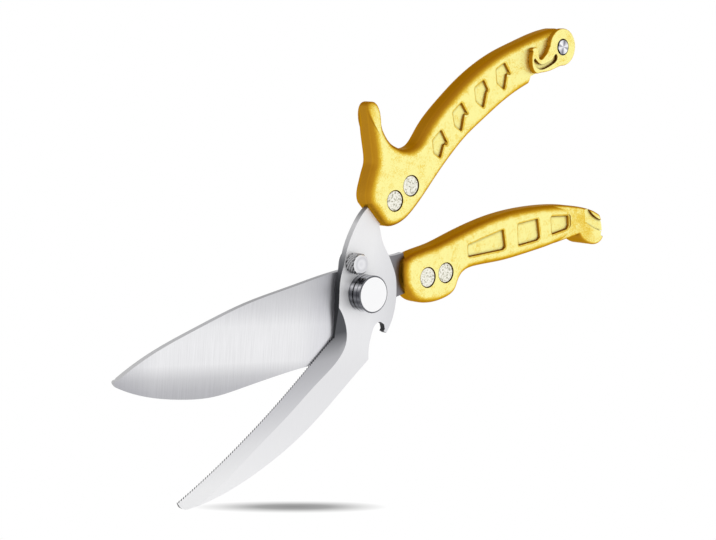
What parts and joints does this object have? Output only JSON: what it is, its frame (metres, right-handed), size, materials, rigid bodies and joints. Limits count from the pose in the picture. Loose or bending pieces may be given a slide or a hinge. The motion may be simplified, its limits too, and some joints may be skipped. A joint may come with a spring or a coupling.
{
  "type": "kitchen shears",
  "caption": "Kitchen shears with a serrated blade over a broad plain blade, cast gold handles, sprung round pivot, knurled pull knob and a swinging hook latch.",
  "frame": {"origin": "on the pivot axis, at the plane of the back of the rear handle, which the shears lie on", "axes": "+X towards the handle that carries the rear blade, +Y towards the other handle, +Z along the pivot out of the front face"},
  "size_m": [0.2414, 0.1317, 0.0154],
  "materials": {
    "gold_paint": "satin metallic gold paint on a casting",
    "front_blade_steel": "satin steel with a ground bevel",
    "rear_blade_steel": "brushed steel, fine lines across the blade",
    "rivet_steel": "fine mottled satin",
    "pivot_steel": "polished",
    "knob_steel": "polished with a knurled side",
    "hardware_steel": "turned steel",
    "spring_steel": "drawn wire"
  },
  "bodies": {
    "rear_half": {"rear_blade": "rear_blade_steel", "rear_handle": "gold_paint", "rear_rivet_pins": "rivet_steel", "rear_rivet_sleeves": "rivet_steel", "pivot_bolt": "hardware_steel", "pivot_cap": "pivot_steel", "blade_washer": "hardware_steel", "back_washer": "hardware_steel", "pivot_nut": "hardware_steel"},
    "front_half": {"front_blade": "front_blade_steel", "front_handle": "gold_paint", "front_rivet_pins": "rivet_steel", "front_rivet_sleeves": "rivet_steel", "pivot_collar": "pivot_steel", "return_spring": "spring_steel", "stop_sleeve": "hardware_steel", "stop_spring": "spring_steel", "latch_bolt": "hardware_steel", "latch_washer": "hardware_steel", "latch_nut": "hardware_steel"},
    "pull_knob": {"stop_knob": "knob_steel", "stop_pin": "hardware_steel"},
    "latch": {"latch_lever": "gold_paint"}
  },
  "joints": [
    {"name": "blade_pivot", "type": "hinge", "parent": "rear_half", "child": "front_half", "pos_m": [0, 0, 0.0065], "axis": [0, 0, 1], "range_deg": [-28, 0], "stiffness_Nm_per_rad": 0.5, "springref_deg": 45.84, "deforming": ["return_spring"]},
    {"name": "knob_pull", "type": "slide", "parent": "front_half", "child": "pull_knob", "axis": [0, 0, 1], "range_m": [0, 0.0019], "stiffness_N_per_m": 300, "springref_m": -0.004, "deforming": ["stop_spring"]},
    {"name": "latch_swing", "type": "hinge", "parent": "front_half", "child": "latch", "pos_m": [0.11582, 0.07079, 0.013], "axis": [0, 0, 1], "range_deg": [-262, 0]}
  ]
}
